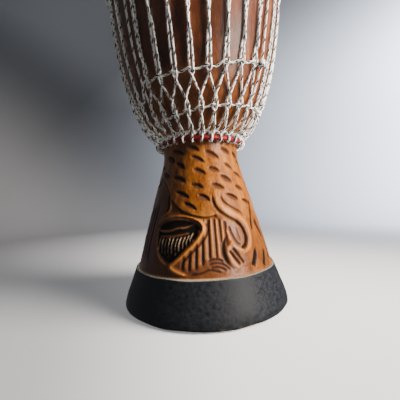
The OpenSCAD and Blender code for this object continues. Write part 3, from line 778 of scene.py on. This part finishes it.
def buildSleeve():
    s = sleeveSize
    phi = np.linspace(0, 360, s["columns"], endpoint=False)
    angle = np.radians(phi)
    cx, cy = np.sin(angle) * 3, np.cos(angle) * 3
    section = [(0.0, 0.3)]  # (share of the height, share of the thickness), round the wall
    section += [(t, 1) for t in np.r_[0.03, np.linspace(0.08, 0.94, 16), 0.985]]
    section += [(1, 0.85), (1, 0.15), (0.97, 0)] + [(t, 0) for t in np.linspace(0.9, 0.05, 8)]
    rows, wear, cut = [], [], []
    for share, out in section:
        wave = noise(cx * 1.5 + 9, cy * 1.5 + 9, seed=7) - 0.5
        sway = wave * (1.2 if share > 0.5 else -1.5) * abs(share - 0.5) * 2
        z = s["low"] + (s["high"] - s["low"]) * share + sway
        skinWave = (noise(cx * 2.4 + 20, cy * 2.4 + 20, share * 4 + 0 * phi, seed=9) - 0.5) * 2
        thick = s["thick"] * (0.55 if share == 0 else 1)
        r = shellR(z) + seatGap + (thick + skinWave * s["ripple"]) * out
        rows.append(turned(angle, r, z))
        ragged = noise(cx * 8 + 40, cy * 8 + 40, seed=11)
        turn = (phi + 180) % 360 - 180  # scraped mostly where the foot is tilted and dragged
        where = 0.12 + np.exp(-((turn - 12) / 16) ** 2) + 0.8 * np.exp(-((turn - 66) / 7) ** 2)
        wear.append(out * ease(0.1 * ragged * where - share, 0, 0.05) * ease(ragged, 0.3, 0.6))
        cut.append(0.6 * (share >= 0.985 and 0.1 < out < 0.9) + 0 * phi)
    piece = meshObject("rubber_sleeve", np.concatenate(rows), gridFaces(len(rows), len(phi), True),
                       cutRubber)
    addFloat(piece, "wear", np.concatenate(wear))
    addFloat(piece, "cut", np.concatenate(cut))
    return piece


sleeve = buildSleeve()
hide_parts("foot_sleeve")
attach(sleeve, "root")
print("stage: rubber sleeve")

# ropes: one tree sweeps a plaited tube along a route
ropeTreeSize = {"ringStep": 1.7, "sides": 8, "plaitDepth": 0.11}


def buildRopeTree():
    tree = bpy.data.node_groups.new("plaitedRope", "GeometryNodeTree")
    add = partial(addNode, tree)
    face = tree.interface
    face.new_socket("Geometry", in_out="INPUT", socket_type="NodeSocketGeometry")
    sockets = {}
    for name, kind, value in (("Rope Radius", "NodeSocketFloat", ropeR * mm),
                              ("Ring Step", "NodeSocketFloat", ropeTreeSize["ringStep"] * mm),
                              ("Sides", "NodeSocketInt", ropeTreeSize["sides"]),
                              ("Plait Depth", "NodeSocketFloat", ropeTreeSize["plaitDepth"] * mm),
                              ("Material", "NodeSocketMaterial", None)):
        item = face.new_socket(name, in_out="INPUT", socket_type=kind)
        if value is not None:
            item.default_value = value
        sockets[name] = item.identifier
    face.new_socket("Geometry", in_out="OUTPUT", socket_type="NodeSocketGeometry")
    given = add("NodeGroupInput").node.outputs
    route = add("GeometryNodeMeshToCurve", {0: given["Geometry"]})
    route = add("GeometryNodeCurveSplineType", {0: route}, spline_type="CATMULL_ROM")
    route = add("GeometryNodeResampleCurve", {"Curve": route, "Length": given["Ring Step"]},
                mode="LENGTH")
    circle = add("GeometryNodeCurvePrimitiveCircle", {"Resolution": given["Sides"],
                                                      "Radius": given["Rope Radius"]})
    tube = add("GeometryNodeCurveToMesh", {"Curve": route, "Profile Curve": circle, "Fill Caps": True})
    index = add("GeometryNodeInputIndex")
    push = index  # every second point of every second ring stands out, the others lie deeper
    for operation, other in (("DIVIDE", given["Sides"]), ("FLOOR", 0), ("ADD", index), ("MODULO", 2),
                             ("SUBTRACT", 0.5), ("MULTIPLY", 2), ("MULTIPLY", given["Plait Depth"])):
        push = add("Math", {0: push, 1: other}, operation=operation)
    normal = add("GeometryNodeInputNormal")
    offset = add("VectorMath", {0: normal, "Scale": push}, operation="SCALE")
    tube = add("GeometryNodeSetPosition", {"Geometry": tube, "Offset": offset})
    tube = add("GeometryNodeSetShadeSmooth", {"Geometry": tube})
    tube = add("GeometryNodeRealizeInstances", {"Geometry": tube})
    tube = add("GeometryNodeSetMaterial", {"Geometry": tube, "Material": given["Material"]})
    add("NodeGroupOutput", {0: tube})
    return tree, sockets


ropeTree, ropeSockets = buildRopeTree()


def bake(piece):  # turns what the modifier makes into a plain mesh
    graph = bpy.context.evaluated_depsgraph_get()
    made = bpy.data.meshes.new_from_object(piece.evaluated_get(graph))
    piece.modifiers.clear()
    old, piece.data = piece.data, made
    made.name = piece.name
    bpy.data.meshes.remove(old)


def makeRope(name, path, node):
    mesh = bpy.data.meshes.new(name)
    mesh.from_pydata((np.array(path) * mm).tolist(), [(i, i + 1) for i in range(len(path) - 1)], [])
    piece = newObject(name, mesh)
    modifier = piece.modifiers.new("plait", "NODES")
    modifier.node_group = ropeTree
    modifier[ropeSockets["Rope Radius"]] = ropeR * mm
    modifier[ropeSockets["Material"]] = braidedPolyester
    bake(piece)
    mesh, sides = piece.data, ropeTreeSize["sides"]
    corner = np.zeros(len(mesh.loops), int)
    mesh.loops.foreach_get("vertex_index", corner)
    totals = np.zeros(len(mesh.polygons), int)
    mesh.polygons.foreach_get("loop_total", totals)
    starts = np.cumsum(totals) - totals
    around = (corner % sides).astype(float)
    seam = (np.maximum.reduceat(around, starts) == sides - 1) & (np.minimum.reduceat(around, starts) == 0)
    around[(around == 0) & np.repeat(seam, totals)] = sides
    uv = np.stack([around / sides, corner // sides * ropeTreeSize["ringStep"] * mm], -1)
    layer = mesh.uv_layers.new(name="plait")
    layer.data.foreach_set("uv", uv.astype(np.float32).ravel())
    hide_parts(node)
    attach(piece, "root")
    print("stage:", name, len(mesh.polygons), "faces")


makeRope("lacing_rope", tensionPath(), "tension_rope")
makeRope("weave_tail", weavePath(), "weave_rope")
makeRope("crown_loops", cradlePath(loops / 2, crownZ, crownR, crownTube, crownHalf, -1), "crown_cradle")
makeRope("bottom_loops", cradlePath(knotAt, bottomZ, bottomR, bottomTube, archHalf, 1), "bottom_cradle")


# knots: turns drawn tight round what they hold, with both ends sticking out
knotSize = {"bore": 1.95, "lay": 3.4, "end": 7}
knotCoil = knotSize["bore"] + ropeR


def knotPath(u, r, z, turns, axis):
    s = knotSize
    a = radians(lacingTurn + u * pitch)
    out = np.array([sin(a), -cos(a), 0])
    along = np.array([cos(a), sin(a), 0]) if axis == "ring" else np.array([0, 0, 1.0])
    across = np.cross(along, out)
    centre = out * r + np.array([0, 0, z])
    points = []
    steps = int(turns * 8)
    for i in range(steps + 1):
        t = 2 * pi * i / 8
        slide = (i / steps - 0.5) * (turns - 1) * s["lay"]
        points.append(centre + along * slide + knotCoil * (cos(t) * out + sin(t) * across))
    tail0 = points[0] - across * s["end"] * 0.5 + out * 0.6
    tail1 = points[-1] + across * s["end"] + out * 0.8 - along * 1.5
    return [tuple(p) for p in [tail0] + points + [tail1]]


knotLift = layerT + seatGap + knotCoil + ropeR
knotOut, knotUp = bottomTube + knotLift, radians(15)
makeRope("crown_knot_turns", knotPath(loops / 2, crownR, crownZ + crownTube + knotLift, 3, "ring"),
         "crown_knot")
makeRope("bottom_knot_turns", knotPath(knotAt, bottomR + knotOut * cos(knotUp),
                                       bottomZ + knotOut * sin(knotUp), 3, "ring"), "bottom_knot")
makeRope("lacing_knot_turns", knotPath(firstPair, laceR(archZ, 2) + ropeR + seatGap + knotCoil + ropeR,
                                       archZ, 2, "ring"), "lacing_knot")
makeRope("tie_off_turns", knotPath(upperRight + 0.5 + halfGap(leavesZ), laceR(tieZ, 1.1), tieZ, 3, "up"),
         "tie_off_knot")


# red cloth wound on both tension rings
wrapSize = {"strip": 14, "lap": 0.45, "sides": 18, "perTurn": 8}


def buildWrap(name, node, r0, z0, tubeR):
    s = wrapSize
    turns = round(2 * pi * r0 / s["strip"])
    columns = turns * s["perTurn"]
    around, about = np.meshgrid(fullTurn(columns), fullTurn(s["sides"]))
    lap = np.mod(around / (2 * pi) * turns + about / (2 * pi), 1)
    crease = noise(around * turns * 0.9, np.sin(about) * 2 + 4, np.cos(about) * 2 + 4, seed=13) - 0.5
    tube = tubeR - s["lap"] * (1 - ease(lap, 0, 0.9) + ease(lap, 0.9, 1)) * 0.9 + crease * 0.35
    points = []
    for t in (tube, tubeR - ringSize["clothT"]):
        points.append(turned(around, r0 + t * np.cos(about), z0 + t * np.sin(about)).reshape(-1, 3))
    outside = gridFaces(s["sides"], columns, True)
    inside = [f[::-1] for f in gridFaces(s["sides"], columns, True, len(points[0]))]
    piece = meshObject(name, np.concatenate(points), outside + inside, dyedCotton)
    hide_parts(node)
    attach(piece, "root")


buildWrap("crown_cloth", "crown_ring_wrap", crownR, crownZ, crownTube)
buildWrap("bottom_cloth", "bottom_ring_wrap", bottomR, bottomZ, bottomTube)
print("stage: cloth wraps")

# goatskin head
headSize = {"columns": 384, "trim": 1.6}


def buildHead():
    s, columns, half = shellSize, headSize["columns"], skinT / 2
    top, roundR = s["height"] + seatGap + half, s["rimRound"] + seatGap + half
    flatR, edgeZ = s["rimD"] / 2 - s["rimRound"], s["height"] - s["rimRound"]
    path = [(r, top) for r in np.r_[4, 10, np.linspace(20, flatR - 3, 16)]]
    path += [(flatR + roundR * cos(a), edgeZ + roundR * sin(a))
             for a in np.radians(np.linspace(90, 0, 9))]
    path += [(skinR + (flatR + roundR - skinR) * (1 - f), s["height"] - down)
             for f, down in ((0.3, 12), (0.7, 18), (1, 24))]
    path += [(skinR, z) for z in np.linspace(crownZ + 10, fleshZ + 3, 7)]
    wrapR = fleshRodR + wrapGap + half
    path += [(fleshR + wrapR * cos(a), fleshZ + wrapR * sin(a))
             for a in np.radians(np.arange(180, 451, 15))]
    path += [(tailR + 1, fleshZ + wrapR + 0.6), (tailR, fleshZ + wrapR + 2)]
    path += [(tailR, z) for z in np.linspace(fleshZ + wrapR + 5, crownZ + ringSize["skirtUp"], 8)]
    path = np.array(path)
    step = np.gradient(path, axis=0)
    normal = np.stack([-step[:, 1], step[:, 0]], -1) / np.linalg.norm(step, axis=1)[:, None]
    section = np.concatenate([path + normal * skinT / 2, (path - normal * skinT / 2)[::-1]])
    share = np.r_[np.linspace(0, 1, len(path)), np.linspace(1, 0, len(path))]
    angle = fullTurn(columns)
    rows = []
    for (r, z), f in zip(section, share):
        trim = (noise(angle * 9, 0 * angle, seed=17) - 0.5) * headSize["trim"] * (f > 0.93)
        rows.append(turned(angle, r, z + trim))
    points = np.concatenate(rows + [[[0, 0, top + half], [0, 0, top - half]]])
    faces = [f[::-1] for f in gridFaces(len(rows), columns, False)]
    last = (len(rows) - 1) * columns
    for j in range(columns):
        k = (j + 1) % columns
        faces += [[j, k, len(points) - 2], [last + k, last + j, len(points) - 1]]
    piece = meshObject("goatskin_head", points, faces, rawGoatskin)
    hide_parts("head_skin")
    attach(piece, "root")


buildHead()
for name in ("flesh_ring", "crown_ring", "bottom_ring"):
    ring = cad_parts[name]
    ring.data.materials.clear()
    ring.data.materials.append(steelRod)
print("stage: head and rings")

# studio: a pale floor that sweeps up all round, with painted shade making it darker to the left and low
# down
stageSize = {"flat": 1.3, "bend": 0.9, "top": 2.6, "columns": 96, "shadeSide": "#9a9ca0", "pale": "#d8dade"}
paleFloor, add = newMaterial("matPalePaint")
place = add("TexCoord", out="Object")
at = add("SeparateXYZ", {0: place}).node.outputs
depth = add("Math", {0: at[1], 1: 0.6}, operation="ADD")
depth = add("Math", {0: depth, 1: 0.2}, operation="MAXIMUM")
aside = add("Math", {0: at[0], 1: depth}, operation="DIVIDE")
lift = add("MapRange", {0: at[2], 1: 1.1, 2: 1.8, 3: 0, 4: 0.6})
grade = add("Math", {0: aside, 1: lift}, operation="ADD")
grade = add("MapRange", {0: grade, 1: -0.5, 2: 0.15}, interpolation_type="SMOOTHSTEP")
colour = setRamp(add("ValToRGB", {0: grade}), [(0, stageSize["shadeSide"]), (1, stageSize["pale"])])
skin = add("BsdfPrincipled", {"Base Color": colour, "Roughness": 0.7})
add("OutputMaterial", {0: skin})
s = stageSize
profile = [(r, 0) for r in (0.2, 0.5, 0.9, s["flat"])]
profile += [(s["flat"] + s["bend"] * sin(a), s["bend"] * (1 - cos(a)))
            for a in np.radians(np.arange(10, 91, 10))]
profile += [(s["flat"] + s["bend"], s["top"])]
angle = fullTurn(s["columns"])
points = np.concatenate([turned(angle, r, z) for r, z in profile] + [[[0, 0, 0]]])
faces = [f[::-1] for f in gridFaces(len(profile), s["columns"], False)]
faces += [[j, (j + 1) % s["columns"], len(points) - 1] for j in range(s["columns"])]
sweep = meshObject("studio_sweep", points / mm, faces, paleFloor)
sweep.visible_diffuse = False  # the pale sweep throws no light back on the dark side
sweep.visible_glossy = False

# place, point aimed at, size, spread in degrees, power, colour
lights = {"key": ((1.07, -0.36, 0.64), (0, 0, 0.24), 0.75, 70, 24, "#fff4ea"),
          "window": ((0.98, -0.82, 0.5), (0, 0, 0.24), 0.5, 120, 5.5, "#fff3e8"),
          "wall": ((1.5, 0.5, 1.2), (1.9, 1.2, 0.6), 0.9, 180, 110, "#eef4ff"),
          "behind": ((-0.5, 1.5, 0.7), (0, 0, 0.4), 0.8, 60, 8, "#f4f4f2")}
for name, (at, aim, size, spread, power, tint) in lights.items():
    lamp = bpy.data.lights.new(name, "AREA")
    lamp.size, lamp.spread, lamp.energy, lamp.color = size, radians(spread), power, linear(tint)[:3]
    lamp.use_shadow = name != "behind"  # a fill, which throws no second shadow
    holder = newObject(name, lamp)
    holder.location = at
    holder.visible_glossy = name == "window"  # it gives the varnish its shine and nothing else
    holder.visible_diffuse = name != "window"
    holder.rotation_euler = (Vector(aim) - Vector(at)).to_track_quat("-Z", "Y").to_euler()
allRound = {"tint": "#dfe3ea", "strength": 0.19}
world = bpy.data.worlds.new("studio")
world.use_nodes = True
sky = world.node_tree.nodes["Background"].inputs
sky[0].default_value, sky[1].default_value = linear(allRound["tint"]), allRound["strength"]
bpy.context.scene.world = world
print("stage: studio")
